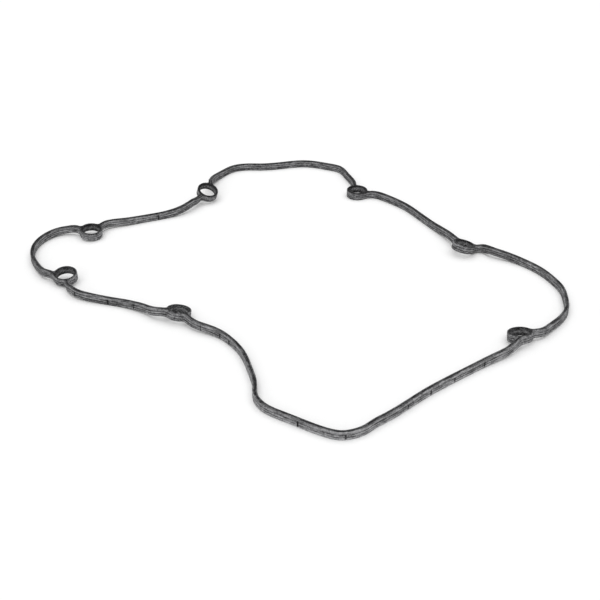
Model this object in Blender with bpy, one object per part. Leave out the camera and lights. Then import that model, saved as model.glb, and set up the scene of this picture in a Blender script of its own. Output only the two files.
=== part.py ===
"""Valve cover gasket: one moulded rubber loop with bolt eyelets, lying slack on a flat table.

The loop is drawn flat, in plan millimetres. A band of constant section runs from eyelet to eyelet,
every eyelet is a thick-walled ring, and all of it is joined into one solid. The solid is then
settled: each eyelet is tipped a few degrees and lifted a little, the way soft rubber lies when it
keeps some twist from its packet, and the tip fades out along the band.
"""
import bpy
import bmesh
import numpy as np

MM = 0.001

# Reach of the plan points below along X and along Y, millimetres
LOOP_WIDTH = 440.0
LOOP_DEPTH = 451.0

# Band section, millimetres
BAND_WIDTH = 3.4
BAND_HEIGHT = 6.5
TOP_LAND = 2.2
TOP_EDGE_DROP = 0.6
BOTTOM_LAND = 2.0
BOTTOM_EDGE_RISE = 0.7
GROOVE_DEPTH = 0.35
GROOVE_HALF_HEIGHT = 0.55
UPPER_GROOVE_Z = 4.2
LOWER_GROOVE_Z = 2.3

# Eyelets, millimetres
EYELET_BORE_RADIUS = 7.5
EYELET_WALL = 2.2
EYELET_PROUD = 0.1
EYELET_EDGE = 0.45
EYELET_SEGMENTS = 20

# Grip bars: short upright ribs that hold the band in the groove of the cover, millimetres
BAR_PROUD = 0.4
BAR_HALF_LENGTH = 0.6
BAR_BOTTOM = 1.0
BAR_TOP = 5.2
BAR_SIDES = 8

# How closely the band's curve is followed, millimetres and radians: spacing of the worked-out line,
# then the longest step of the solid, its step beside and near an eyelet, and its turn per step
LINE_STEP = 0.25
STEP_LONGEST = 22.0
STEP_BY_EYELET = 7.5
STEP_NEAR_EYELET = 18.0
TURN_PER_STEP = 0.235

# How the tip and the lift of an eyelet fade along the band: distances from its centre, millimetres
FADE_START = 10.0
TIP_FADE_END = 26.0
LIFT_FADE_END = 60.0

# Eyelet centre x and y, bearing its top leans towards (degrees from +X), tip (degrees), lift (mm)
EYELETS = {
    "back_left": (-87, 188, -50, 24, 5.0),
    "back_right": (54, 197, -60, 2, 0.5),
    "right_rear": (140, 80, 30, 15, 3.6),
    "right_front": (165, -63, 115, 9, 2.3),
    "front": (-94, -30, 45, 11, 2.6),
    "left_front": (-192, 29, -95, 10, 2.5),
    "left_rear": (-184, 111, -58, 7, 1.8),
}

# Runs of band: eyelet it leaves and at what angle, points it passes, eyelet it reaches and angle
RUNS = [
    ("back_left", 80,
     [(-85.4, 213), (-83.8, 224.5), (-75.3, 243), (-65, 255), (-53, 259), (-40, 259), (-17, 263),
      (4, 267), (15, 265), (27, 260), (38, 254), (46, 236), (52, 214)],
     "back_right", 105),
    ("back_right", -35,
     [(68, 193.5), (79, 187), (89, 177), (98, 166), (106, 152), (121, 123), (129, 106)],
     "right_rear", 115),
    ("right_rear", 0,
     [(156, 82), (162.3, 75), (170.5, 69.5), (187, 58), (195, 49), (202, 38), (207, 26), (211, 12),
      (211, -5), (208, -23), (199, -39), (188.5, -52), (179.8, -59.6)],
     "right_front", 15),
    ("right_front", -95,
     [(156, -81), (147, -88), (138, -94), (121, -107), (104, -121), (88, -135), (72, -151), (57, -165),
      (50, -171), (43, -178), (35, -182.5), (27, -184), (18.5, -181.5), (4, -173), (-11, -163),
      (-25, -152), (-31, -140), (-32, -125), (-35, -110), (-43, -83), (-49.5, -71), (-58, -60),
      (-66, -54), (-83, -44)],
     "front", -50),
    ("front", 195,
     [(-110, -30.5), (-119, -23.5), (-130, -16), (-140, -11), (-159, -5), (-168.5, -2), (-179, 3),
      (-187, 13)],
     "left_front", -75),
    ("left_front", 185,
     [(-205.5, 32.2), (-209.6, 34.4), (-213.5, 38.5), (-218.5, 47), (-225, 61), (-229, 83),
      (-225.5, 99), (-217.7, 110.3), (-209.2, 115.5), (-199, 115.5)],
     "left_rear", 172),
    ("left_rear", 48,
     [(-170.5, 128.5), (-160, 133), (-140, 142), (-120, 150.5), (-110, 156), (-100.5, 165.5)],
     "back_left", 235),
]

# Grip bars: eyelet the run leaves, places along the run as shares of its length
GRIP_BARS = {
    "back_left": [0.356],
    "right_front": [0.109, 0.190, 0.254, 0.319, 0.465, 0.555, 0.871, 0.902, 0.949],
    "front": [0.307, 0.529, 0.802],
    "left_rear": [0.527],
}

# Finish of the solid: colour, roughness and the angle in degrees from which an edge shades sharp
GASKET_COLOUR = (0.125, 0.125, 0.128, 1.0)
GASKET_ROUGHNESS = 0.55
SHARP_FROM = 35

# Distances in metres: points this close are one point, in a swept piece and in the joined solid
WELD_DISTANCE = 0.000001
CLEAN_DISTANCE = 0.000005


def clear_scene():
    for obj in list(bpy.data.objects):
        bpy.data.objects.remove(obj, do_unlink=True)


def drawn_span(axis):
    """How far the plan points reach as they are drawn above, along X (0) or Y (1)."""
    values = [point[axis] for run in RUNS for point in run[2]]
    return max(values) - min(values)


def placed(point):
    """A drawn plan point, stretched so that the loop has its stated width and depth."""
    return (point[0] * LOOP_WIDTH / drawn_span(0), point[1] * LOOP_DEPTH / drawn_span(1))


def centre_of(eyelet):
    return placed(EYELETS[eyelet][:2])


def wall_point(eyelet, angle):
    """A plan point in the middle of an eyelet's wall, at an angle in degrees from +X."""
    x, y = centre_of(eyelet)
    middle = EYELET_BORE_RADIUS + EYELET_WALL / 2
    turn = np.radians(angle)
    return (x + middle * np.cos(turn), y + middle * np.sin(turn))


def smooth_line(points, step):
    """Natural cubic curve through plan points, measured by chord length, as closely spaced points."""
    p = np.array(points, float)
    at = np.concatenate([[0.0], np.cumsum(np.hypot(*np.diff(p, axis=0).T))])
    gap = np.diff(at)
    count = len(p)
    matrix = np.eye(count)
    wanted = np.zeros((count, 2))
    for i in range(1, count - 1):
        matrix[i, i - 1] = gap[i - 1]
        matrix[i, i] = 2 * (gap[i - 1] + gap[i])
        matrix[i, i + 1] = gap[i]
        wanted[i] = 6 * ((p[i + 1] - p[i]) / gap[i] - (p[i] - p[i - 1]) / gap[i - 1])
    bend = np.linalg.solve(matrix, wanted)
    t = np.linspace(0.0, at[-1], int(at[-1] / step) + 1)
    k = np.clip(np.searchsorted(at, t) - 1, 0, count - 2)
    before = (at[k + 1] - t)[:, None]
    after = (t - at[k])[:, None]
    g = gap[k][:, None]
    cubic = (bend[k] * before ** 3 + bend[k + 1] * after ** 3) / (6 * g)
    return cubic + (p[k] / g - bend[k] * g / 6) * before + (p[k + 1] / g - bend[k + 1] * g / 6) * after


def run_line(run):
    """The plan centre line of one run, from wall to wall of its two eyelets."""
    leaves, leaving_angle, passes, reaches, arriving_angle = run
    points = [wall_point(leaves, leaving_angle)]
    points += [placed(point) for point in passes]
    points += [wall_point(reaches, arriving_angle)]
    return smooth_line(points, LINE_STEP)


def distance_along(line):
    return np.concatenate([[0.0], np.cumsum(np.hypot(*np.diff(line, axis=0).T))])


def stations(line):
    """Picks points of a line: closer where it turns and where the band rises to an eyelet."""
    along = distance_along(line)
    heading = np.unwrap(np.arctan2(*np.diff(line, axis=0).T[::-1]))
    turning = np.concatenate([[0.0], np.abs(np.diff(heading)), [0.0]])
    steps = np.gradient(along)
    centres = np.array([centre_of(eyelet) for eyelet in EYELETS])
    nearest = np.hypot(*(line[:, None, :] - centres[None]).transpose(2, 0, 1)).min(axis=1)
    longest = np.where(nearest < TIP_FADE_END, STEP_BY_EYELET, STEP_LONGEST)
    longest = np.where((nearest >= TIP_FADE_END) & (nearest < LIFT_FADE_END), STEP_NEAR_EYELET, longest)
    need = np.cumsum(steps / longest + turning / TURN_PER_STEP)
    need -= need[0]
    count = int(round(need[-1])) + 1
    picked = np.searchsorted(need, np.linspace(0.0, need[-1], count))
    picked = np.clip(picked, 0, len(line) - 1)
    return line[np.unique(picked)]


def grooved_side(half_width, land_top, land_bottom, bottom, top):
    """One side of a section from top to bottom: bevelled top edge, wall with two grooves, bottom."""
    grooved = half_width - GROOVE_DEPTH
    return [
        (land_top, top),
        (half_width, BAND_HEIGHT - TOP_EDGE_DROP),
        (half_width, UPPER_GROOVE_Z + GROOVE_HALF_HEIGHT),
        (grooved, UPPER_GROOVE_Z),
        (half_width, UPPER_GROOVE_Z - GROOVE_HALF_HEIGHT),
        (half_width, LOWER_GROOVE_Z + GROOVE_HALF_HEIGHT),
        (grooved, LOWER_GROOVE_Z),
        (half_width, BOTTOM_EDGE_RISE),
        (land_bottom, bottom),
    ]


def band_section():
    right = grooved_side(BAND_WIDTH / 2, TOP_LAND / 2, BOTTOM_LAND / 2, 0.0, BAND_HEIGHT)
    left = [(-x, z) for x, z in reversed(right)]
    return right + left


def eyelet_section():
    """Wall section of an eyelet about its middle line: grooved outside, plain bore inside."""
    half = EYELET_WALL / 2
    top = BAND_HEIGHT + EYELET_PROUD
    bottom = -EYELET_PROUD
    outside = grooved_side(half, half - EYELET_EDGE, half - EYELET_EDGE, bottom, top)
    bore = [
        (-half + EYELET_EDGE, bottom),
        (-half, bottom + EYELET_EDGE),
        (-half, top - EYELET_EDGE),
        (-half + EYELET_EDGE, top),
    ]
    return outside + bore


def curve_object(name, points, closed):
    """A poly curve in metres, kept out of the render and shown as a wire guide."""
    data = bpy.data.curves.new(name, "CURVE")
    data.dimensions = "3D"
    data.twist_mode = "Z_UP"
    line = data.splines.new("POLY")
    line.points.add(len(points) - 1)
    for point, place in zip(line.points, points):
        point.co = (place[0] * MM, place[1] * MM, place[2] * MM, 1.0)
    line.use_cyclic_u = closed
    guide = bpy.data.objects.new(name, data)
    bpy.context.scene.collection.objects.link(guide)
    guide.hide_render = True
    guide.display_type = "WIRE"
    return guide


def section_object(name, section):
    return curve_object(name, [(x, z, 0.0) for x, z in section], True)


def carried(name, path, closed, section):
    """Carries a section curve along a flat path and returns the closed solid as a mesh object."""
    guide = curve_object(name + "_path", [(x, y, 0.0) for x, y in path], closed)
    guide.data.bevel_mode = "OBJECT"
    guide.data.bevel_object = section
    guide.data.use_fill_caps = not closed
    bpy.context.view_layer.update()
    evaluated = guide.evaluated_get(bpy.context.evaluated_depsgraph_get())
    mesh = bpy.data.meshes.new_from_object(evaluated)
    work = bmesh.new()
    work.from_mesh(mesh)
    bmesh.ops.remove_doubles(work, verts=work.verts, dist=WELD_DISTANCE)
    bmesh.ops.recalc_face_normals(work, faces=work.faces)
    work.to_mesh(mesh)
    work.free()
    solid = bpy.data.objects.new(name, mesh)
    bpy.context.scene.collection.objects.link(solid)
    return solid


def ring_path(eyelet):
    x, y = centre_of(eyelet)
    middle = EYELET_BORE_RADIUS + EYELET_WALL / 2
    turns = np.arange(EYELET_SEGMENTS) * (2 * np.pi / EYELET_SEGMENTS)
    return [(x + middle * np.cos(t), y + middle * np.sin(t)) for t in turns]


def grip_bar(name, line, share):
    """An upright bar through the band, lens-shaped in plan, standing proud on both sides."""
    along = distance_along(line)
    place = int(np.searchsorted(along, share * along[-1]))
    ahead = line[place + 1] - line[place - 1]
    mesh = bpy.data.meshes.new(name)
    work = bmesh.new()
    bmesh.ops.create_cone(work, cap_ends=True, segments=BAR_SIDES, radius1=1.0, radius2=1.0, depth=1.0)
    size = (BAR_HALF_LENGTH * MM, (BAND_WIDTH / 2 + BAR_PROUD) * MM, (BAR_TOP - BAR_BOTTOM) * MM)
    bmesh.ops.scale(work, verts=work.verts, vec=size)
    work.to_mesh(mesh)
    work.free()
    bar = bpy.data.objects.new(name, mesh)
    bar.location = (line[place][0] * MM, line[place][1] * MM, (BAR_TOP + BAR_BOTTOM) / 2 * MM)
    bar.rotation_euler = (0.0, 0.0, float(np.arctan2(ahead[1], ahead[0])))
    bpy.context.scene.collection.objects.link(bar)
    return bar


def joined(solids):
    """One solid from overlapping ones: the first takes all the others in one exact union."""
    first = solids[0]
    others = bpy.data.collections.new("joined_parts")
    bpy.context.scene.collection.children.link(others)
    for solid in solids[1:]:
        others.objects.link(solid)
        bpy.context.scene.collection.objects.unlink(solid)
        solid.hide_render = True
        solid.display_type = "WIRE"
    union = first.modifiers.new("union", "BOOLEAN")
    union.operation = "UNION"
    union.solver = "EXACT"
    union.operand_type = "COLLECTION"
    union.collection = others
    bpy.context.view_layer.update()
    evaluated = first.evaluated_get(bpy.context.evaluated_depsgraph_get())
    mesh = bpy.data.meshes.new_from_object(evaluated)
    for solid in solids:
        bpy.data.objects.remove(solid, do_unlink=True)
    bpy.data.collections.remove(others)
    return mesh


def fade(distance, start, end):
    """One inside the start distance, nought beyond the end, a smooth S between."""
    t = np.clip((distance - start) / (end - start), 0.0, 1.0)
    return 1.0 - t * t * (3.0 - 2.0 * t)


def settled(points):
    """Tips every eyelet about its own centre and lifts it, fading along the band; millimetres."""
    out = points.copy()
    for eyelet, (_, _, bearing, tip, lift) in EYELETS.items():
        x, y = centre_of(eyelet)
        dx = points[:, 0] - x
        dy = points[:, 1] - y
        z = points[:, 2] - BAND_HEIGHT / 2
        distance = np.hypot(dx, dy)
        turn = np.radians(tip) * fade(distance, FADE_START, TIP_FADE_END)
        ux = np.cos(np.radians(bearing))
        uy = np.sin(np.radians(bearing))
        along = dx * ux + dy * uy
        moved = along * np.cos(turn) + z * np.sin(turn) - along
        out[:, 0] += moved * ux
        out[:, 1] += moved * uy
        out[:, 2] += z * np.cos(turn) - along * np.sin(turn) - z
        out[:, 2] += lift * fade(distance, FADE_START, LIFT_FADE_END)
    return out


def rubber():
    material = bpy.data.materials.new("rubber")
    material.use_nodes = True
    shader = material.node_tree.nodes["Principled BSDF"]
    shader.inputs["Base Color"].default_value = GASKET_COLOUR
    shader.inputs["Roughness"].default_value = GASKET_ROUGHNESS
    return material


def finished(mesh):
    """Cuts the joined mesh into triangles, settles it and puts its footprint's middle at the origin."""
    work = bmesh.new()
    work.from_mesh(mesh)
    bmesh.ops.remove_doubles(work, verts=work.verts, dist=CLEAN_DISTANCE)
    bmesh.ops.dissolve_degenerate(work, edges=work.edges, dist=CLEAN_DISTANCE)
    bmesh.ops.triangulate(work, faces=work.faces)
    work.to_mesh(mesh)
    work.free()
    flat = np.empty(len(mesh.vertices) * 3, np.float64)
    mesh.vertices.foreach_get("co", flat)
    lying = settled(flat.reshape(-1, 3) / MM)
    low = lying.min(axis=0)
    high = lying.max(axis=0)
    lying -= [(low[0] + high[0]) / 2, (low[1] + high[1]) / 2, low[2]]
    mesh.vertices.foreach_set("co", (lying * MM).ravel())
    mesh.update()
    return low, high


def main():
    clear_scene()
    band = section_object("band_section", band_section())
    wall = section_object("eyelet_section", eyelet_section())
    solids = []
    for eyelet in EYELETS:
        solids.append(carried("eyelet_" + eyelet, ring_path(eyelet), True, wall))
    for run in RUNS:
        line = run_line(run)
        solids.append(carried("run_" + run[0], stations(line), False, band))
        for share in GRIP_BARS.get(run[0], []):
            solids.append(grip_bar("bar_%s_%.3f" % (run[0], share), line, share))
    mesh = joined(solids)
    low, high = finished(mesh)
    mesh.name = "gasket"
    gasket = bpy.data.objects.new("gasket", mesh)
    bpy.context.scene.collection.objects.link(gasket)
    mesh.materials.clear()
    mesh.materials.append(rubber())
    mesh.shade_smooth()
    mesh.set_sharp_from_angle(angle=np.radians(SHARP_FROM))
    print("gasket: %d triangles, plan box %s to %s mm" % (len(mesh.polygons), low.round(3), high.round(3)))


main()
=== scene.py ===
# %% [markdown]
# # A valve cover gasket, lying slack on a white table
# The real thing is one shot of black rubber: a slim band that runs in a closed, crooked loop, with a
# thick-walled eyelet wherever a bolt holds the cover down. It has been handled and has dusted over,
# so it looks mottled grey. The frame that is loaded here holds its solid at real size. This script
# dresses that solid with a finer skin, a finish, a table and a camera.

# %% Load the frame
import bmesh
import bpy
import numpy as np
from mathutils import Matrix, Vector, geometry


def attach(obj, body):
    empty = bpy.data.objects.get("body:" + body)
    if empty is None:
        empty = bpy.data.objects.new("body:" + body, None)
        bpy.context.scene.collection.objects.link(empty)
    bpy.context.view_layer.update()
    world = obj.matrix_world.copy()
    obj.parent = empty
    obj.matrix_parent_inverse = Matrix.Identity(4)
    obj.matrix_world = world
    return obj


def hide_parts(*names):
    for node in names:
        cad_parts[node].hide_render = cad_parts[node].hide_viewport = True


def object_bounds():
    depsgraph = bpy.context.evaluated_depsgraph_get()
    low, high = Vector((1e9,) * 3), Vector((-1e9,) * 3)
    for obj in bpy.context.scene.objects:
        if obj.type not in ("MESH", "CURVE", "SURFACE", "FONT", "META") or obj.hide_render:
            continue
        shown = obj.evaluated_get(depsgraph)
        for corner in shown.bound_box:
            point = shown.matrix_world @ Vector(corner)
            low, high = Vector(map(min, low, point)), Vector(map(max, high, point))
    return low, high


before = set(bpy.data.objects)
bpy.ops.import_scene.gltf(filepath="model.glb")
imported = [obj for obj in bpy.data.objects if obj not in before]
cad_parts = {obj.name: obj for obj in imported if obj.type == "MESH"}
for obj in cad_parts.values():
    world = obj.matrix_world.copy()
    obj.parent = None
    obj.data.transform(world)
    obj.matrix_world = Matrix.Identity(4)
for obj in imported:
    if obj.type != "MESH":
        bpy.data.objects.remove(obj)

cad_box = [list(corner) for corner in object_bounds()]
print("nodes in the frame:", sorted(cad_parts), "box in metres:", cad_box)

# %% [markdown]
# ## Sizes
# Everything is worked out in millimetres and turned into metres at the very end, because a moulder's
# drawing is in millimetres and the numbers stay readable. The sizes repeat those of the solid. The
# section is taller than it is wide, with two grooves along each wall.

# %% Sizes of the band and the eyelets
MM = 0.001
BAND_WIDTH = 3.4
BAND_HEIGHT = 6.5
TOP_EDGE = 0.6
BOTTOM_EDGE = 0.7
GROOVE_DEPTH = 0.35
GROOVE_HALF_HEIGHT = 0.55
UPPER_GROOVE_Z = 4.2
LOWER_GROOVE_Z = 2.3
EYELET_BORE_RADIUS = 7.5
EYELET_WALL = 2.2
EYELET_RADIUS = EYELET_BORE_RADIUS + EYELET_WALL
EYELET_PROUD = 0.1
FILLET = 2.4
print("band %.1f x %.1f mm, eyelets %.1f mm across" % (BAND_WIDTH, BAND_HEIGHT, 2 * EYELET_RADIUS))

# %% [markdown]
# ## The plan
# Flat on its cover the gasket is a drawing in plan. Each eyelet has a centre, and also the way it lies
# here: the bearing its top leans towards, how far it is tipped, and how far it is lifted. Each run of
# band leaves one eyelet at an angle, passes a few points and reaches the next eyelet. The points are a
# draughtsman's: only as many as the shape needs.

# %% Eyelets and runs of the plan
# centre x and y, bearing of the lean (degrees from +X), tip (degrees), lift (mm)
EYELETS = {
    "back_left": (-87, 188, -50, 24, 5.0),
    "back_right": (54, 197, -60, 2, 0.5),
    "right_rear": (140, 80, 30, 15, 3.6),
    "right_front": (165, -63, 115, 9, 2.3),
    "front": (-94, -30, 45, 11, 2.6),
    "left_front": (-192, 29, -95, 10, 2.5),
    "left_rear": (-184, 111, -58, 7, 1.8),
}
# eyelet it leaves and at what angle, points it passes, eyelet it reaches and at what angle
RUNS = [
    ("back_left", 80,
     [(-85.4, 213), (-83.8, 224.5), (-75.3, 243), (-65, 255), (-53, 259), (-40, 259), (-17, 263),
      (4, 267), (15, 265), (27, 260), (38, 254), (46, 236), (52, 214)],
     "back_right", 105),
    ("back_right", -35,
     [(68, 193.5), (79, 187), (89, 177), (98, 166), (106, 152), (121, 123), (129, 106)],
     "right_rear", 115),
    ("right_rear", 0,
     [(156, 82), (162.3, 75), (170.5, 69.5), (187, 58), (195, 49), (202, 38), (207, 26), (211, 12),
      (211, -5), (208, -23), (199, -39), (188.5, -52), (179.8, -59.6)],
     "right_front", 15),
    ("right_front", -95,
     [(156, -81), (147, -88), (138, -94), (121, -107), (104, -121), (88, -135), (72, -151), (57, -165),
      (50, -171), (43, -178), (35, -182.5), (27, -184), (18.5, -181.5), (4, -173), (-11, -163),
      (-25, -152), (-31, -140), (-32, -125), (-35, -110), (-43, -83), (-49.5, -71), (-58, -60),
      (-66, -54), (-83, -44)],
     "front", -50),
    ("front", 195,
     [(-110, -30.5), (-119, -23.5), (-130, -16), (-140, -11), (-159, -5), (-168.5, -2), (-179, 3),
      (-187, 13)],
     "left_front", -75),
    ("left_front", 185,
     [(-205.5, 32.2), (-209.6, 34.4), (-213.5, 38.5), (-218.5, 47), (-225, 61), (-229, 83),
      (-225.5, 99), (-217.7, 110.3), (-209.2, 115.5), (-199, 115.5)],
     "left_rear", 172),
    ("left_rear", 48,
     [(-170.5, 128.5), (-160, 133), (-140, 142), (-120, 150.5), (-110, 156), (-100.5, 165.5)],
     "back_left", 235),
]
# short upright ribs on the band's walls: share of the run's length, and how dark it is painted, as
# painted shade
GRIP_BARS = {
    "back_left": [(0.356, 0.2)],
    "right_front": [(0.109, 0.9), (0.190, 0.6), (0.254, 0.7), (0.319, 0.5), (0.465, 0.5), (0.555, 1.6),
                    (0.871, 1.1), (0.902, 0.7), (0.949, 0.3)],
    "front": [(0.307, 0.4), (0.529, 1.0), (0.802, 0.7)],
    "left_rear": [(0.527, 0.6)],
}
print(len(EYELETS), "eyelets,", len(RUNS), "runs,", sum(map(len, GRIP_BARS.values())), "grip bars")

# %% [markdown]
# ## Centre lines
# A band of rubber bends evenly, so its centre line should have no sudden change of curvature. A
# natural cubic curve through the points does that: each stretch is a cubic, and neighbours share their
# bend where they meet. A curve object with handles would need each of them tuned by eye.

# %% A smooth line through plan points
LINE_STEP = 0.25


def turned(degrees):
    """Unit vectors at angles from +X: (cosine, sine)."""
    angle = np.radians(degrees)
    return np.stack([np.cos(angle), np.sin(angle)], axis=-1)


def smooth_line(points, step):
    """Natural cubic through the points by chord length. The bends at the points solve the
    three-term rule g0*b0 + 2*(g0 + g1)*b1 + g1*b2 = 6*(slope after - slope before), with no bend
    at the two ends, and the cubics are then read every step."""
    p = np.array(points, float)
    at = np.concatenate([[0.0], np.cumsum(np.hypot(*np.diff(p, axis=0).T))])
    gap = np.diff(at)
    slope = np.diff(p, axis=0) / gap[:, None]
    inner = np.arange(1, len(p) - 1)
    matrix = np.eye(len(p))
    matrix[inner, inner - 1] = gap[:-1]
    matrix[inner, inner] = 2 * (gap[:-1] + gap[1:])
    matrix[inner, inner + 1] = gap[1:]
    wanted = np.zeros_like(p)
    wanted[1:-1] = 6 * np.diff(slope, axis=0)
    bend = np.linalg.solve(matrix, wanted)
    t = np.linspace(0.0, at[-1], int(at[-1] / step) + 1)
    k = np.clip(np.searchsorted(at, t) - 1, 0, len(gap) - 1)
    before = (at[k + 1] - t)[:, None]
    after = (t - at[k])[:, None]
    g = gap[k][:, None]
    cubic = (bend[k] * before ** 3 + bend[k + 1] * after ** 3) / (6 * g)
    return cubic + (p[k] / g - bend[k] * g / 6) * before + (p[k + 1] / g - bend[k + 1] * g / 6) * after


def centre_of(eyelet):
    """Centre of an eyelet in plan: the first two of its numbers."""
    return np.array(EYELETS[eyelet][:2], float)


def run_line(run):
    """Centre line of a run, from the middle of one eyelet's wall to the middle of the next one's."""
    leaves, leaving, passes, reaches, arriving = run
    middle = EYELET_BORE_RADIUS + EYELET_WALL / 2
    start = centre_of(leaves) + middle * turned(leaving)
    end = centre_of(reaches) + middle * turned(arriving)
    return smooth_line([start] + passes + [end], LINE_STEP)


def headings(line):
    """Unit direction of a line at each of its points."""
    step = np.gradient(line, axis=0)
    return step / np.linalg.norm(step, axis=1)[:, None]


print("first run: %d points" % len(run_line(RUNS[0])))

# %% All the centre lines, one after another
LINES = [run_line(run) for run in RUNS]
LINE = np.concatenate(LINES)
HEADING = np.concatenate([headings(line) for line in LINES])
LINE_PLACE = LINE_STEP * np.arange(len(LINE))
CENTRES = np.array([centre_of(eyelet) for eyelet in EYELETS])
print("centre line: %.2f m of band" % (LINE_PLACE[-1] * MM))

# %% [markdown]
# ## One outline for band and eyelets
# In the mould the band flows into each eyelet with a soft corner. Joining two meshes with a Boolean
# would leave a hard crease there. Instead the whole plan is described by one signed distance: how far
# a point is from the edge of the rubber, less than nought inside it. Two such distances join softly
# with a smooth minimum, and the corner gets its fillet for nothing.

# %% Signed distance to the flat outline
LINE_BLOCK = 1000
TINY = 1e-9


def nearest_on_line(points):
    """Index of the nearest centre-line point: the least p.p - 2 p.c + c.c, in blocks of points."""
    squares = (LINE ** 2).sum(axis=1)
    blocks = np.array_split(points, len(points) // LINE_BLOCK + 1)
    return np.concatenate([np.argmin(squares - 2.0 * block @ LINE.T, axis=1) for block in blocks])


def from_band(points):
    """Distance from the centre line, its slope, and the place along it: sideways distance beside
    the line, and straight distance past the line's ends."""
    k = nearest_on_line(points)
    gap = points - LINE[k]
    ahead = HEADING[k]
    left = np.stack([-ahead[:, 1], ahead[:, 0]], axis=1)
    lengthwise = (gap * ahead).sum(axis=1)
    sideways = (gap * left).sum(axis=1)
    past = np.sign(lengthwise) * np.maximum(np.abs(lengthwise) - LINE_STEP, 0.0)
    distance = np.hypot(past, sideways) + TINY
    slope = (past[:, None] * ahead + sideways[:, None] * left) / distance[:, None]
    return distance, slope, LINE_PLACE[k], sideways


def from_eyelets(points):
    """Distance from the nearest eyelet's centre, and its slope."""
    gap = points[:, None, :] - CENTRES[None, :, :]
    distance = np.linalg.norm(gap, axis=2)
    k = distance.argmin(axis=1)
    every = np.arange(len(points))
    nearest = distance[every, k] + TINY
    return nearest, gap[every, k] / nearest[:, None]


def edge_distance(points):
    """Signed distance to the outline and its slope. a is the distance to the band's edge, b to the
    eyelet's; the smooth minimum is min(a, b) - h*h*FILLET/4 with h = 1 - |a - b|/FILLET above 0."""
    band, band_slope, _, _ = from_band(points)
    ring, ring_slope = from_eyelets(points)
    a = band - BAND_WIDTH / 2
    b = ring - EYELET_RADIUS
    h = np.maximum(1.0 - np.abs(a - b) / FILLET, 0.0)
    share = np.where(a < b, 1.0 - h / 2, h / 2)[:, None]
    return np.minimum(a, b) - h * h * FILLET / 4, share * band_slope + (1.0 - share) * ring_slope


print("distance at an eyelet's centre: %.1f mm" % edge_distance(CENTRES[:1])[0][0])

# %% [markdown]
# ## Grip bars
# Here and there a short upright rib stands on both walls of the band and holds it in the cover's
# groove. Small boxes could be stuck on, but they would not belong to the skin. Here only their places
# are worked out, as shares of a run's length, so that they follow the band if the plan changes. The
# ribs themselves are raised out of the walls further down.

# %% Where the grip bars stand
bars = [(i, share, bar_shade) for i, run in enumerate(RUNS) for share, bar_shade in GRIP_BARS.get(run[0], [])]
bar_places = [(i, int(round(share * (len(LINES[i]) - 1)))) for i, share, _ in bars]
BAR_CENTRES = np.array([LINES[i][k] for i, k in bar_places])
BAR_HEADINGS = np.array([headings(LINES[i])[k] for i, k in bar_places])
# painted shade: each grip bar gets its own weight of darkness, standing for the shade at the rib
BAR_SHADE = np.array([bar_shade for _, _, bar_shade in bars])
print("first grip bar at", BAR_CENTRES[0].round(1), "mm")

# %% [markdown]
# ## Walking the outline
# The outer and the inner outline start as a rough chain: the band's edge, then the eyelet's arc, then
# the next band's edge, with the corners left out. Each point is then pulled straight onto the true
# edge, much closer with each step, which also fills in the fillets. The points stand about a
# millimetre apart, and closer at the grip bars, which are small. Evenly spaced points alone would
# either miss the bars or make the whole skin four times as heavy.

# %% The rough chain, the pull and the spacing
OUTLINE_STEP = 1.0
BAR_STEP = 0.25
FINE_STEP = 0.4
ARC_POINTS = 91
PULL_STEPS = 4
BAR_NEAR = 2.6
BAR_EASING = 1.5


def rough_outline(side):
    """Band edges and eyelet arcs in turn. side is +1 outside the loop and -1 inside it; the loop
    runs clockwise, so its outside lies to the left and outer arcs turn clockwise."""
    chain = []
    for i, run in enumerate(RUNS):
        line = LINES[i]
        ahead = headings(line)
        edge = line + side * BAND_WIDTH / 2 * np.stack([-ahead[:, 1], ahead[:, 0]], axis=1)
        chain.append(edge[from_eyelets(edge)[0] > EYELET_RADIUS + FILLET / 2])
        start = run[4]
        end = RUNS[(i + 1) % len(RUNS)][1]
        sweep = (start - end) % 360 if side > 0 else (end - start) % 360
        arc = centre_of(run[3]) + EYELET_RADIUS * turned(start - side * np.linspace(0, sweep, ARC_POINTS))
        chain.append(arc[from_band(arc)[0] > BAND_WIDTH / 2 + FILLET / 2])
    return np.concatenate(chain)


def pulled(points):
    """Points pulled onto the edge: p less value * slope / slope squared, a few times over."""
    for _ in range(PULL_STEPS):
        value, slope = edge_distance(points)
        points = points - (value / (slope ** 2).sum(axis=1))[:, None] * slope
    return points


def respaced(points, step, bar_step):
    """Walks a closed chain and stands points a step apart, or a bar step apart beside a bar. The
    number of points wanted per millimetre is summed along the chain and read at whole numbers."""
    ring = np.vstack([points, points[:1]])
    length = np.linalg.norm(np.diff(ring, axis=0), axis=1)
    middle = (ring[1:] + ring[:-1]) / 2
    to_bar = np.linalg.norm(middle[:, None] - BAR_CENTRES[None], axis=2).min(axis=1)
    close = 1.0 - np.clip((to_bar - BAR_NEAR) / BAR_EASING, 0.0, 1.0)
    wanted = np.concatenate([[0.0], np.cumsum(length * (1 / step + close * (1 / bar_step - 1 / step)))])
    count = int(wanted[-1])
    read = np.linspace(0.0, wanted[-1], count, endpoint=False)
    return np.stack([np.interp(read, wanted, ring[:, axis]) for axis in (0, 1)], axis=1)


def walked_outline(side):
    """The outline of one side: a fine chain first, then the spacing that the skin needs."""
    fine = pulled(respaced(rough_outline(side), FINE_STEP, FINE_STEP))
    return pulled(respaced(fine, OUTLINE_STEP, BAR_STEP))


# %% Walk both outlines
outer = walked_outline(+1)
inner = walked_outline(-1)
worst = max(np.abs(edge_distance(outer)[0]).max(), np.abs(edge_distance(inner)[0]).max())
print("outline points: %d outside, %d inside" % (len(outer), len(inner)))
print("worst point is %.5f mm off the edge" % worst)

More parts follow.
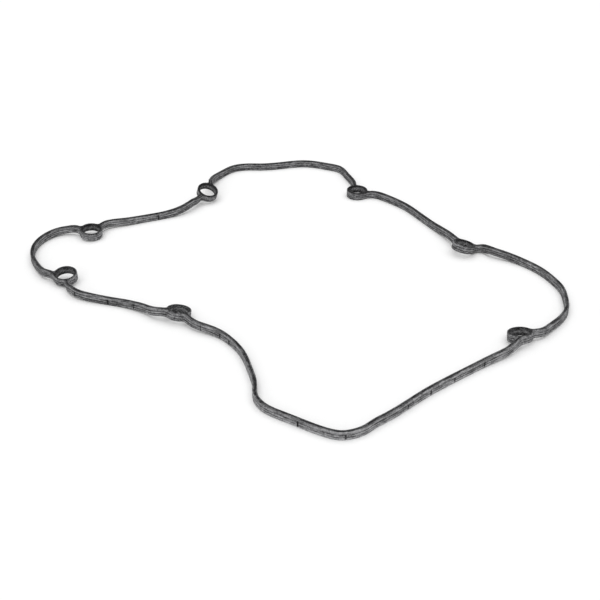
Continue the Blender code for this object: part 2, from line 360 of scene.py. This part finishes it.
# %% [markdown]
# ## The wall's profile
# Seen in section, a wall comes down from the flat top through a rounded edge, along a plain face, in
# and out of two shallow grooves, and round a softer edge to the underside. One formula gives how far
# the wall stands in from the outline at each height, and the same profile is carried round every
# point of both outlines. The points of the outline know which way is out, so no sweep modifier is
# needed and nothing twists.

# %% Profile of the outer and inner walls
EDGE_DEGREES = [90, 76, 60, 42, 22]
GROOVE_ROWS = np.array([1.0, 0.7, 0.4, 0.0, -0.4, -0.7, -1.0])
UPPER_FACE_Z = 5.4
LOWER_FACE_Z = 1.2


def dip(z, centre, half):
    """A smooth groove: (1 - t*t) squared, with t the height from its centre over its half height."""
    t = np.clip((z - centre) / half, -1.0, 1.0)
    return (1.0 - t * t) ** 2


def grooves(z):
    """One at the bottom of a groove, nought outside them."""
    return dip(z, UPPER_GROOVE_Z, GROOVE_HALF_HEIGHT) + dip(z, LOWER_GROOVE_Z, GROOVE_HALF_HEIGHT)


def inset(z):
    """How far in from the outline: quarter ellipses at both edges, plus the two grooves."""
    top = np.clip((z - (BAND_HEIGHT - TOP_EDGE)) / TOP_EDGE, 0.0, 1.0)
    bottom = np.clip((BOTTOM_EDGE - z) / BOTTOM_EDGE, 0.0, 1.0)
    edges = TOP_EDGE * (1.0 - np.sqrt(1.0 - top ** 2)) + BOTTOM_EDGE * (1.0 - np.sqrt(1.0 - bottom ** 2))
    return edges + GROOVE_DEPTH * grooves(z)


quarter = np.sin(np.radians(EDGE_DEGREES))
heights = np.concatenate([
    BAND_HEIGHT - TOP_EDGE + TOP_EDGE * quarter,
    [BAND_HEIGHT - TOP_EDGE, UPPER_FACE_Z],
    UPPER_GROOVE_Z + GROOVE_HALF_HEIGHT * GROOVE_ROWS,
    LOWER_GROOVE_Z + GROOVE_HALF_HEIGHT * GROOVE_ROWS,
    [LOWER_FACE_Z],
    BOTTOM_EDGE - BOTTOM_EDGE * quarter[::-1],
])
print("%d heights in the profile, deepest inset %.2f mm" % (len(heights), inset(heights).max()))

# %% [markdown]
# ## Carrying the profile round
# Each wall is a grid: one way round the outline, the other way down the profile. A grip bar is a
# bump on that same grid, so it needs no mesh of its own. Near an eyelet the wall is a touch taller,
# because the eyelet stands proud of the band by a tenth of a millimetre above and below.

# %% Walls as grids of points
BAR_PROUD = 0.4
BAR_HALF_LENGTH = 0.6
BAR_MIDDLE = 3.1
BAR_HALF_HEIGHT = 2.2
BAR_ROUNDING = 0.5
BAR_REACH = 4.0


def smooth_step(t):
    """The S curve t*t*(3 - 2t), held at nought and one outside."""
    t = np.clip(t, 0.0, 1.0)
    return t * t * (3.0 - 2.0 * t)


def risen(value, start, end):
    """The S curve between two limits: nought at start and one at end, whichever is the larger."""
    return smooth_step((value - start) / (end - start))


def eyelet_share(points):
    """One on an eyelet, nought on the band, changing over the fillet's width."""
    return 1.0 - smooth_step((from_eyelets(points)[0] - EYELET_RADIUS) / FILLET)


def stretched(z, share):
    """Heights pushed outwards from mid height, so that an eyelet stands proud above and below."""
    return z + EYELET_PROUD * share * (2.0 * z / BAND_HEIGHT - 1.0)


def bar_bump(points, z, weights=1.0):
    """Height of the grip bars, nought away from them: exp(-(length / half length) to the fourth)
    along the band, times an S curve at both ends in height, times each bar's weight."""
    gap = points[:, None, :] - BAR_CENTRES[None]
    along = (gap * BAR_HEADINGS[None]).sum(axis=2)
    near = np.linalg.norm(gap, axis=2) < BAR_REACH
    shape = (np.where(near, np.exp(-(along / BAR_HALF_LENGTH) ** 4), 0.0) * weights).max(axis=1)
    past_end = np.abs(z - BAR_MIDDLE) - BAR_HALF_HEIGHT
    upright = 1.0 - smooth_step((past_end + BAR_ROUNDING) / BAR_ROUNDING)
    return shape[None, :] * upright[:, None]


def wall(outline):
    """Grid of points, heights by outline: outline - inset * outward + bar * outward. Also how deep
    each point lies in a groove, and how much painted shade a grip bar gets."""
    _, slope = edge_distance(outline)
    outward = slope / np.linalg.norm(slope, axis=1)[:, None]
    out = BAR_PROUD * bar_bump(outline, heights) - inset(heights)[:, None]
    flat = outline[None] + out[:, :, None] * outward[None]
    z = stretched(heights[:, None], eyelet_share(outline)[None])
    shaded_bars = bar_bump(outline, heights, BAR_SHADE)
    return np.dstack([flat, z]), np.broadcast_to(grooves(heights)[:, None], z.shape), shaded_bars


outer_wall, outer_groove, outer_bars = wall(outer)
inner_wall, inner_groove, inner_bars = wall(inner)
print("walls:", outer_wall.shape[:2], "and", inner_wall.shape[:2], "points")

# %% [markdown]
# ## Bores
# A bolt's sleeve slides through each eyelet. The bore is round, with small rounded edges and one
# low ring halfway down, where the two halves of the mould's pin meet. A Boolean cut would make a
# plain hole. Here all the bores are one array of eyelet, height and turn, with the ring in it.

# %% Bores as one array
BORE_EDGE = 0.45
BORE_RING = 0.18
BORE_RING_HALF_HEIGHT = 0.9
BORE_ROWS = [5.2, 4.2, 3.8, 3.3, 2.8, 2.4, 1.4]
BORE_POINTS = 54


def bore_growth(z):
    """How much wider than the bore: quarter circles at both edges, less a low ring at mid height."""
    top = np.clip((z - (BAND_HEIGHT - BORE_EDGE)) / BORE_EDGE, 0.0, 1.0)
    bottom = np.clip((BORE_EDGE - z) / BORE_EDGE, 0.0, 1.0)
    edges = BORE_EDGE * (2.0 - np.sqrt(1.0 - top ** 2) - np.sqrt(1.0 - bottom ** 2))
    return edges - BORE_RING * dip(z, BAND_HEIGHT / 2, BORE_RING_HALF_HEIGHT)


edge_heights = BORE_EDGE * quarter
bore_heights = np.concatenate([
    BAND_HEIGHT - BORE_EDGE + edge_heights,
    [BAND_HEIGHT - BORE_EDGE] + BORE_ROWS,
    BORE_EDGE - edge_heights[::-1],
])
bore_turns = turned(np.arange(BORE_POINTS) * 360.0 / BORE_POINTS)
bore_radii = EYELET_BORE_RADIUS + bore_growth(bore_heights)
bores = np.empty((len(EYELETS), len(bore_heights), BORE_POINTS, 3))
bores[..., :2] = CENTRES[:, None, None] + bore_radii[None, :, None, None] * bore_turns[None, None]
bores[..., 2] = stretched(bore_heights, 1.0)[None, :, None]
print("bores:", bores.shape)

# %% [markdown]
# ## Top and underside
# The flat lands between the walls and the bores are left. Their edges are known points, so a
# constrained triangulation fills them: it joins the points without crossing any edge. Extra points
# down the middle of the band and round each eyelet let the top be slightly crowned, as moulded
# rubber is. A triangle is kept if a line from its middle crosses the edges an odd number of times.

# %% Extra points in the lands
CROWN = 0.07
LAND_STEP = 6
SPINE_CLEAR = 0.4

spine = np.concatenate([line[::LAND_STEP] for line in LINES])
spine = spine[from_eyelets(spine)[0] > EYELET_RADIUS + SPINE_CLEAR]
ring_radius = EYELET_BORE_RADIUS + EYELET_WALL / 2
rings = (CENTRES[:, None] + ring_radius * bore_turns[None]).reshape(-1, 2)
middle = np.concatenate([spine, rings])
print("extra points in each land:", len(middle))

# %% Number the points and fill the lands
LAND_BLOCK = 2000
SAME_POINT = 1e-7
NO_RISE = 1e-12
WHOLE_HULL = 0


def closed_edges(first, count):
    """Pairs of point numbers round a closed ring."""
    here = first + np.arange(count)
    return np.stack([here, np.roll(here, -1)], axis=1)


def inside(points, rim, edges):
    """Odd number of edges crossed by a line to +X, for all the points at once."""
    a = rim[edges[:, 0]]
    b = rim[edges[:, 1]]
    spans = (a[None, :, 1] > points[:, None, 1]) != (b[None, :, 1] > points[:, None, 1])
    rise = b[:, 1] - a[:, 1]
    rise = np.where(rise == 0.0, NO_RISE, rise)
    across = a[:, 0] + (points[:, None, 1] - a[:, 1]) * (b[:, 0] - a[:, 0]) / rise
    return (spans & (across > points[:, None, 0])).sum(axis=1) % 2 == 1


def filled_land(rims, loose):
    """Triangles between closed rims, with loose points among them, as numbers into rims + loose."""
    sizes = [len(rim) for rim in rims]
    firsts = np.concatenate([[0], np.cumsum(sizes)])
    points = np.concatenate(list(rims) + [loose])
    edges = np.concatenate([closed_edges(first, size) for first, size in zip(firsts, sizes)])
    flat = [Vector(p) for p in points]
    result = geometry.delaunay_2d_cdt(flat, edges.tolist(), [], WHOLE_HULL, SAME_POINT)
    came_from = np.array([source[0] for source in result[3]])
    triangles = came_from[np.array(result[2])]
    blocks = np.array_split(triangles, len(triangles) // LAND_BLOCK + 1)
    keep = np.concatenate([inside(points[block].mean(axis=1), points, edges) for block in blocks])
    return triangles[keep]


top_rims = [outer_wall[0, :, :2], inner_wall[0, :, :2]] + [bore[0, :, :2] for bore in bores]
land = filled_land(top_rims, middle)
print("triangles in each land:", len(land))

# %% [markdown]
# ## One closed skin
# The real part is moulded in one shot, so its skin is one surface. The walls, bores and lands could be
# joined as separate meshes and welded, which goes wrong wherever two points lie close together. Here
# the grids and the lands are put together by number, so that neighbours share their points.

# %% Put the grids and lands together


def grid_faces(first, rows, around):
    """Quads of a grid that closes round on itself: this point, the next, and the two below."""
    number = first + np.arange(rows * around).reshape(rows, around)
    after = np.roll(number, -1, axis=1)
    return np.stack([number[:-1], after[:-1], after[1:], number[1:]], axis=-1).reshape(-1, 4)


grids = [outer_wall, inner_wall] + list(bores)
grid_first = np.concatenate([[0], np.cumsum([grid.shape[0] * grid.shape[1] for grid in grids])])
quads = np.concatenate([grid_faces(f, g.shape[0], g.shape[1]) for f, g in zip(grid_first, grids)])

middle_share = eyelet_share(middle)
top_middle = np.column_stack([middle, stretched(BAND_HEIGHT, middle_share) + CROWN])
under_middle = np.column_stack([middle, stretched(0.0, middle_share)])
points = np.concatenate([grid.reshape(-1, 3) for grid in grids] + [top_middle, under_middle])

top_first = grid_first[-1]
under_first = top_first + len(middle)
top_numbers = [f + np.arange(g.shape[1]) for f, g in zip(grid_first, grids)]
last_rows = [f + (g.shape[0] - 1) * g.shape[1] for f, g in zip(grid_first, grids)]
under_numbers = [f + np.arange(g.shape[1]) for f, g in zip(last_rows, grids)]
top_numbers = np.concatenate(top_numbers + [top_first + np.arange(len(middle))])
under_numbers = np.concatenate(under_numbers + [under_first + np.arange(len(middle))])
triangles = np.concatenate([top_numbers[land], under_numbers[land][:, ::-1]])
print("skin: %d points, %d triangles" % (len(points), 2 * len(quads) + len(triangles)))

# %% [markdown]
# ## What each point tells the finish
# A shader can't see that a place lies in a groove or on a grip bar. Masks could be painted, but they
# would have to be painted again after each change of shape. Instead each point carries what the finish
# wants to know: how deep it lies in a groove, how much painted shade a grip bar gets, whether it is on a
# sealing face or in a bore, how much painted light and shade its wall gets, and where it is along the
# band, across it and up the wall.

# %% Where each point is on the skin
number = np.arange(len(points))
on_outer_wall = number < grid_first[1]
on_inner_wall = (number >= grid_first[1]) & (number < grid_first[2])
on_bore_wall = (number >= grid_first[2]) & (number < top_first)
off_walls = np.zeros(len(points) - grid_first[2])
in_groove = np.concatenate([outer_groove.ravel(), inner_groove.ravel(), off_walls])
painted_bar_shade = np.concatenate([outer_bars.ravel(), inner_bars.ravel(), off_walls])
_, _, run_place, sideways = from_band(points[:, :2])
flat_height = points[:, 2]
print("points in grooves: %d, on grip bars: %d" % ((in_groove > 0.5).sum(), (painted_bar_shade > 0.5).sum()))

# %% [markdown]
# ### Clean faces, and painted shade at the back and in the bores
# The top and the underside press on metal, so they stay clean. So does a little of the wall next to
# them. Towards the back of the loop these dark edges are painted wider and darker, as painted shade
# along the top edge. The bore walls are painted darker too, as shade in them, apart from a paler ring
# halfway down. The loop's plan has +Y towards the back and +X to the right, so a place's y tells how
# far back it is.

# %% How clean the faces are, with painted shade at the back and in the bores
PALER_RING_Z = 0.55 * BAND_HEIGHT
PALER_RING_HALF_HEIGHT = 1.4
PALER_RING_SHARE = 0.85
BACK_FROM, BACK_TO = 20.0, 100.0
CLEAN_REACH, SHADED_REACH_BEHIND = 0.4, 0.8
CLEAN_EDGE, SHADED_EDGE_BEHIND = 0.35, 0.5

# painted shade: the bore walls are painted darker, apart from a paler ring halfway down
paler_ring = dip(flat_height, PALER_RING_Z, PALER_RING_HALF_HEIGHT)
painted_bore_shade = np.where(on_bore_wall, 1.0 - PALER_RING_SHARE * paler_ring, 0.0)
# painted shade: towards the back of the loop, the dark edges next to the top and the underside are
# painted wider and darker
towards_back = risen(points[:, 1], BACK_FROM, BACK_TO)
clean_and_shaded_reach = TOP_EDGE * (CLEAN_REACH + SHADED_REACH_BEHIND * towards_back)
near_face = 1.0 - risen(np.minimum(flat_height, BAND_HEIGHT - flat_height), 0.0, clean_and_shaded_reach)
clean_and_shaded_edge = (CLEAN_EDGE + SHADED_EDGE_BEHIND * towards_back) * near_face
on_face = np.where(number >= top_first, 1.0, clean_and_shaded_edge)
print("points on clean faces: %d, in bores: %d" % ((on_face > 0.5).sum(), (painted_bore_shade > 0.5).sum()))

# %% [markdown]
# ### Painted light and shade on the two walls
# The walls are painted paler and darker as light falls on them. The outer wall is painted paler
# towards the front corner, most of all at its foot, and darker at its foot further back. The inner wall
# is painted darker at its foot, where the table shades it, less so to the left, and paler towards the
# left. Each wall has a plain share and a share for its foot, and both grow towards one side of the loop.

# %% Painted light and shade on each wall
FOOT_FROM, FOOT_TO = 0.6, 3.6
FRONT_FROM, FRONT_TO = -20.0, -120.0
LEFT_FROM, LEFT_TO = -60.0, -160.0

low_down = 1.0 - risen(flat_height, FOOT_FROM, FOOT_TO)
towards_front = risen(points[:, 1], FRONT_FROM, FRONT_TO)
towards_left = risen(points[:, 0], LEFT_FROM, LEFT_TO)


def dust(plain, foot, towards, side, side_foot):
    """Painted light and shade on a wall: plain + foot * low down + (side + side foot * low down) *
    towards a side.
    """
    return plain + foot * low_down + (side + side_foot * low_down) * towards


# painted light and shade: each wall is paler towards one side of the loop, as if lit from there, and
# darker at its foot, where the table shades it
outer_wall_shading = dust(plain=0.0, foot=-0.10, towards=towards_front, side=0.10, side_foot=0.24)
inner_wall_shading = dust(plain=0.01, foot=-0.17, towards=towards_left, side=0.09, side_foot=0.10)
more_dust = np.where(on_outer_wall, outer_wall_shading, 0.0) + np.where(on_inner_wall, inner_wall_shading, 0.0)
print("dust on the walls: from %.2f to %.2f" % (more_dust.min(), more_dust.max()))

# %% [markdown]
# ## How it lies
# Rubber keeps a memory of the packet it came in, so the loop never lies quite flat. Each eyelet is
# tipped about its own centre, and the tip and the lift fade out along the band with a smooth S. This
# is the same rule that bent the solid, so the skin lies on it. A bend modifier turns a whole object
# about one axis, and could not do seven small tips at once.

# %% Tip and lift the eyelets
FADE_START = 10.0
TIP_FADE_END = 26.0
LIFT_FADE_END = 60.0


def settled(p):
    """For each eyelet: turn the points near it by tip * fade about the line across its lean, then
    raise them by lift * fade. Fade is one near its centre and nought past its fade's end."""
    out = p.copy()
    for x, y, bearing, tip, lift in EYELETS.values():
        gap = p[:, :2] - (x, y)
        distance = np.linalg.norm(gap, axis=1)
        z = p[:, 2] - BAND_HEIGHT / 2
        turn = np.radians(tip) * (1.0 - risen(distance, FADE_START, TIP_FADE_END))
        raised = lift * (1.0 - risen(distance, FADE_START, LIFT_FADE_END))
        lean = turned(bearing)
        along = gap @ lean
        moved = along * np.cos(turn) + z * np.sin(turn) - along
        out[:, :2] += moved[:, None] * lean
        out[:, 2] += z * np.cos(turn) - along * np.sin(turn) - z + raised
    return out


lying = settled(points)
low, high = lying.min(axis=0), lying.max(axis=0)
cad_middle = (np.array(cad_box[0]) + np.array(cad_box[1])) / 2 / MM
plan_origin = cad_middle[:2] - (low[:2] + high[:2]) / 2
lying[:, :2] += plan_origin
lying[:, 2] -= low[2]
print("skin is %s mm, plan origin lands at %s mm" % ((high - low).round(2), plan_origin.round(3)))

# %% [markdown]
# ### Making the mesh
# The points and faces go into the mesh in one go, and the faces are turned to look outwards. The count
# of open or doubled edges shows whether the skin is closed, as a moulded part is. What each point tells
# the finish goes in as plain attributes of the mesh.

# %% Make the mesh
mesh = bpy.data.meshes.new("gasket_skin")
mesh.from_pydata((lying * MM).tolist(), [], quads.tolist() + triangles.tolist())
work = bmesh.new()
work.from_mesh(mesh)
bmesh.ops.recalc_face_normals(work, faces=work.faces)
open_edges = sum(1 for edge in work.edges if not edge.is_manifold)
work.to_mesh(mesh)
work.free()
mesh.shade_smooth()
for name, values in {
    "in_groove": in_groove,
    "painted_bar_shade": painted_bar_shade,
    "on_face": on_face,
    "painted_bore_shade": painted_bore_shade,
    "more_dust": more_dust,
    "run_place": run_place * MM,
    "sideways": sideways * MM,
    "flat_height": flat_height * MM,
}.items():
    mesh.attributes.new(name, "FLOAT", "POINT").data.foreach_set("value", values.astype(np.float32))
gasket = bpy.data.objects.new("gasket_skin", mesh)
bpy.context.scene.collection.objects.link(gasket)
print("open or doubled edges:", open_edges)

# %% [markdown]
# ## The finish
# The rubber is black underneath, but handling and dust have left its walls a mottled grey. The flat
# top and the underside seal against metal, so they stay clean and nearly black. The bores are painted
# dark too, as shade in them, apart from a paler ring halfway down. The grooves are painted darker than
# the plain wall, as shade in them, and the grip bars darker still, as painted shade on each rib. Streaks
# run along the band, because that is how it is pulled from the mould and through fingers, so the streak
# pattern is read in band coordinates: how far along, how far across and how high. The fine speckle and
# the blotches have no direction, so they are read in plain object coordinates. One painted picture
# could not do both at once, and would need unwrapping first.

# %% Helpers for shader nodes
finish = bpy.data.materials.new("dusty_rubber")
finish.use_nodes = True
nodes = finish.node_tree.nodes
links = finish.node_tree.links
nodes.clear()


def node(kind, **settings):
    """A new shader node with its settings and its unlinked sockets filled in."""
    made = nodes.new(kind)
    for key, value in settings.items():
        if key in made.inputs:
            made.inputs[key].default_value = value
        else:
            setattr(made, key, value)
    return made


def attribute(name):
    """The value that each point carries under a name."""
    return node("ShaderNodeAttribute", attribute_name=name).outputs["Fac"]


def noise(vector, scale, detail, roughness):
    """Fractal noise: scale is in repeats for each unit of the vector."""
    made = node("ShaderNodeTexNoise", Scale=scale, Detail=detail, Roughness=roughness)
    links.new(vector, made.inputs["Vector"])
    return made.outputs["Fac"]


def ramped(value, between, gives):
    """Reads a value between two limits and spreads it between two outputs, with soft ends."""
    made = node("ShaderNodeMapRange", interpolation_type="SMOOTHSTEP")
    links.new(value, made.inputs["Value"])
    for socket, limit in zip(("From Min", "From Max", "To Min", "To Max"), between + gives):
        made.inputs[socket].default_value = limit
    return made.outputs["Result"]


def combined(operation, first, second):
    """Math on two values, either of which may be a plain number."""
    made = node("ShaderNodeMath", operation=operation)
    for socket, value in zip(made.inputs, (first, second)):
        if isinstance(value, (int, float)):
            socket.default_value = value
        else:
            links.new(value, socket)
    return made.outputs[0]


def banded(lengthwise, crosswise, upward):
    """Band coordinates as one vector, each stretched by its own scale."""
    made = node("ShaderNodeCombineXYZ")
    scales = {"run_place": lengthwise, "sideways": crosswise, "flat_height": upward}
    for socket, (name, scale) in zip(made.inputs, scales.items()):
        links.new(combined("MULTIPLY", attribute(name), scale), socket)
    return made.outputs["Vector"]


print("material:", finish.name)

# %% [markdown]
# ### How pale each place is
# One number drives the finish, from nought, clean black rubber, to one, thick pale dust. It is a sum:
# blotches about 4 mm across, speckle of about a millimetre, streaks along the band and the painted light
# and shade of each wall. The sealing faces, with the painted shade at their edges towards the back, then
# take their share away, and so do the bores, the grooves and the grip bars, as painted shade.
# Scales are in repeats for each metre.

# %% Paleness
PLAIN_WALL = 0.53
FACE_LOSES = 0.6
BORE_SHADE_STRENGTH = 0.34
BAR_SHADE_STRENGTH = 1.0

place = node("ShaderNodeTexCoord").outputs["Object"]
soft = noise(place, scale=260.0, detail=3.0, roughness=0.6)
fine = noise(place, scale=800.0, detail=4.0, roughness=0.7)
drawn_out = banded(lengthwise=110.0, crosswise=900.0, upward=1300.0)
stringy = noise(drawn_out, scale=1.0, detail=4.0, roughness=0.65)
worn_along = banded(lengthwise=260.0, crosswise=0.0, upward=500.0)
patchy = noise(worn_along, scale=1.0, detail=3.0, roughness=0.6)

blotches = ramped(soft, between=(0.3, 0.7), gives=(-0.1, 0.1))
speckle = ramped(fine, between=(0.3, 0.7), gives=(-0.18, 0.18))
streaks = ramped(stringy, between=(0.34, 0.68), gives=(-0.24, 0.28))
# painted shade: the grooves are painted darker, as shade in them, by a patchy amount
painted_groove_shade = ramped(patchy, between=(0.35, 0.6), gives=(0.15, 0.5))

paleness = combined("ADD", blotches, speckle)
# the painted light and shade of the walls is added to the paleness here
for gain in (streaks, PLAIN_WALL, attribute("more_dust")):
    paleness = combined("ADD", paleness, gain)
# painted shade: the bores, the grooves, the grip bars and the face edges towards the back are darkened
# here
for name, loses in {
    "on_face": FACE_LOSES,
    "painted_bore_shade": BORE_SHADE_STRENGTH,
    "in_groove": painted_groove_shade,
    "painted_bar_shade": BAR_SHADE_STRENGTH,
}.items():
    paleness = combined("SUBTRACT", paleness, combined("MULTIPLY", attribute(name), loses))
print("nodes behind the paleness:", len(nodes))

# %% [markdown]
# ### Colour, sheen and grain
# Clean rubber is nearly black with a dull sheen, and dust is a pale grey with almost none. So one ramp
# turns paleness into colour and another turns it into roughness. The grain is only bumps, a small part
# of a millimetre deep, because real points that fine would make the mesh far too heavy.

# %% Colour, sheen and grain
CLEAN_RUBBER = (0.008, 0.008, 0.009, 1.0)
THIN_DUST = (0.125, 0.125, 0.128, 1.0)
THICK_DUST = (0.42, 0.42, 0.43, 1.0)
THIN_DUST_AT = 0.45
STREAK_RELIEF = 1.5
GRAIN_DEPTH = 0.2 * MM

# the ramp colours the dust, and also the painted light and shade carried in the paleness
colour = node("ShaderNodeValToRGB")
links.new(paleness, colour.inputs["Fac"])
ramp = colour.color_ramp
ramp.elements[0].position = 0.0
ramp.elements[0].color = CLEAN_RUBBER
ramp.elements[1].position = 1.0
ramp.elements[1].color = THICK_DUST
ramp.elements.new(THIN_DUST_AT).color = THIN_DUST

roughness = ramped(paleness, between=(0.0, 0.8), gives=(0.42, 0.72))
grain = noise(place, scale=2600.0, detail=5.0, roughness=0.65)
bumps = node("ShaderNodeBump", Strength=0.35, Distance=GRAIN_DEPTH)
links.new(combined("ADD", grain, combined("MULTIPLY", streaks, STREAK_RELIEF)), bumps.inputs["Height"])

surface = node("ShaderNodeBsdfPrincipled", Metallic=0.0, IOR=1.5)
surface.inputs["Specular IOR Level"].default_value = 0.12
links.new(colour.outputs["Color"], surface.inputs["Base Color"])
links.new(roughness, surface.inputs["Roughness"])
links.new(bumps.outputs["Normal"], surface.inputs["Normal"])
output = node("ShaderNodeOutputMaterial")
links.new(surface.outputs["BSDF"], output.inputs["Surface"])
mesh.materials.append(finish)
print("finish has", len(nodes), "nodes")

# %% [markdown]
# ## In the solid's place
# The gasket is one piece and nothing on it moves, so the skin rides on the root body and stands for
# the one solid node. Its slot says what it is made of.

# %% The skin takes the solid's place
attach(gasket, "root")
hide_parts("gasket")
print("in place of the solid:", gasket.name)

# %% [markdown]
# ## Table
# The photograph was taken on a white sweep, so there is no horizon. A curved backdrop could be built,
# but the camera looks down steeply enough that a flat sheet fills the picture. It is plain matt white.

# %% White table
TABLE_REACH = 4.0
sheet = bpy.data.meshes.new("table")
corners = TABLE_REACH * np.array([(-1, -1, 0), (1, -1, 0), (1, 1, 0), (-1, 1, 0)], float)
sheet.from_pydata(corners.tolist(), [], [(0, 1, 2, 3)])
table = bpy.data.objects.new("table", sheet)
bpy.context.scene.collection.objects.link(table)

TABLE_WHITE = 0.95
white = bpy.data.materials.new("white_table")
white.use_nodes = True
matt = white.node_tree.nodes["Principled BSDF"]
matt.inputs["Base Color"].default_value = (TABLE_WHITE, TABLE_WHITE, TABLE_WHITE, 1.0)
matt.inputs["Roughness"].default_value = 1.0
matt.inputs["Specular IOR Level"].default_value = 0.0
sheet.materials.append(white)
print("table: %.0f m across" % (2 * TABLE_REACH))

# %% [markdown]
# ## Light
# The light is broad and soft, with only a tight soft shadow round the rubber. An even white sky gives
# nearly half of it. A wide lamp overhead gives as much again and draws the shadow in close, and a low
# one from the front lifts the walls that face the camera. Together they bring the bare table just past
# white, so it shows as plain white with nothing but the shadow on it. Area lamps would do too, but
# their light falls off with distance, and the table would not be evenly white.

# %% Soft studio light
SKY = 0.48
OVERHEAD = 0.49
FRONT = 0.12

world = bpy.data.worlds.new("studio")
bpy.context.scene.world = world
world.use_nodes = True
world.node_tree.nodes["Background"].inputs["Color"].default_value = (1.0, 1.0, 1.0, 1.0)
world.node_tree.nodes["Background"].inputs["Strength"].default_value = SKY


def soft_sun(name, on_table, height, bearing, spread):
    """A wide far light: strength is pi * what it puts on the level table / sine of its height."""
    lamp = bpy.data.lights.new(name, "SUN")
    lamp.angle = np.radians(spread)
    lamp.energy = np.pi * on_table / np.sin(np.radians(height))
    level = np.cos(np.radians(height)) * turned(bearing)
    towards = Vector((level[0], level[1], np.sin(np.radians(height))))
    made = bpy.data.objects.new(name, lamp)
    made.rotation_euler = towards.to_track_quat("Z", "Y").to_euler()
    bpy.context.scene.collection.objects.link(made)


soft_sun("overhead", OVERHEAD, height=90, bearing=0, spread=80)
soft_sun("front", FRONT, height=28, bearing=-104, spread=50)
print("light on the table: %.2f" % (TABLE_WHITE * (SKY + OVERHEAD + FRONT)))

# %% [markdown]
# ## Camera
# The eyelets show as ellipses and the band looks thinner where it runs across the view than where it
# runs away, and together these give the camera: it looks down at 30 degrees through a long lens. One
# pixel in the middle of the picture is 0.8 mm on the table. The camera aims at the plan's origin.

# %% Camera from the photograph
PICTURE_WIDTH = 600
FOCAL_PIXELS = 1146
MM_PER_PIXEL = 0.8
LOOK_DOWN = np.radians(30)
SENSOR_WIDTH = 36.0
SEES_UP_TO = 20.0

lens = bpy.data.cameras.new("camera")
lens.sensor_width = SENSOR_WIDTH
lens.lens = SENSOR_WIDTH * FOCAL_PIXELS / PICTURE_WIDTH
lens.clip_end = SEES_UP_TO
aim = Vector((plan_origin[0] * MM, plan_origin[1] * MM, 0.0))
reach = FOCAL_PIXELS * MM_PER_PIXEL * MM
camera = bpy.data.objects.new("camera", lens)
camera.location = aim + reach * Vector((0.0, -np.cos(LOOK_DOWN), np.sin(LOOK_DOWN)))
camera.rotation_euler = (np.pi / 2 - LOOK_DOWN, 0.0, 0.0)
bpy.context.scene.collection.objects.link(camera)
bpy.context.scene.camera = camera
bpy.context.scene.view_settings.view_transform = "Standard"
print("camera at", tuple(round(v, 4) for v in camera.location), "lens %.1f mm" % lens.lens)
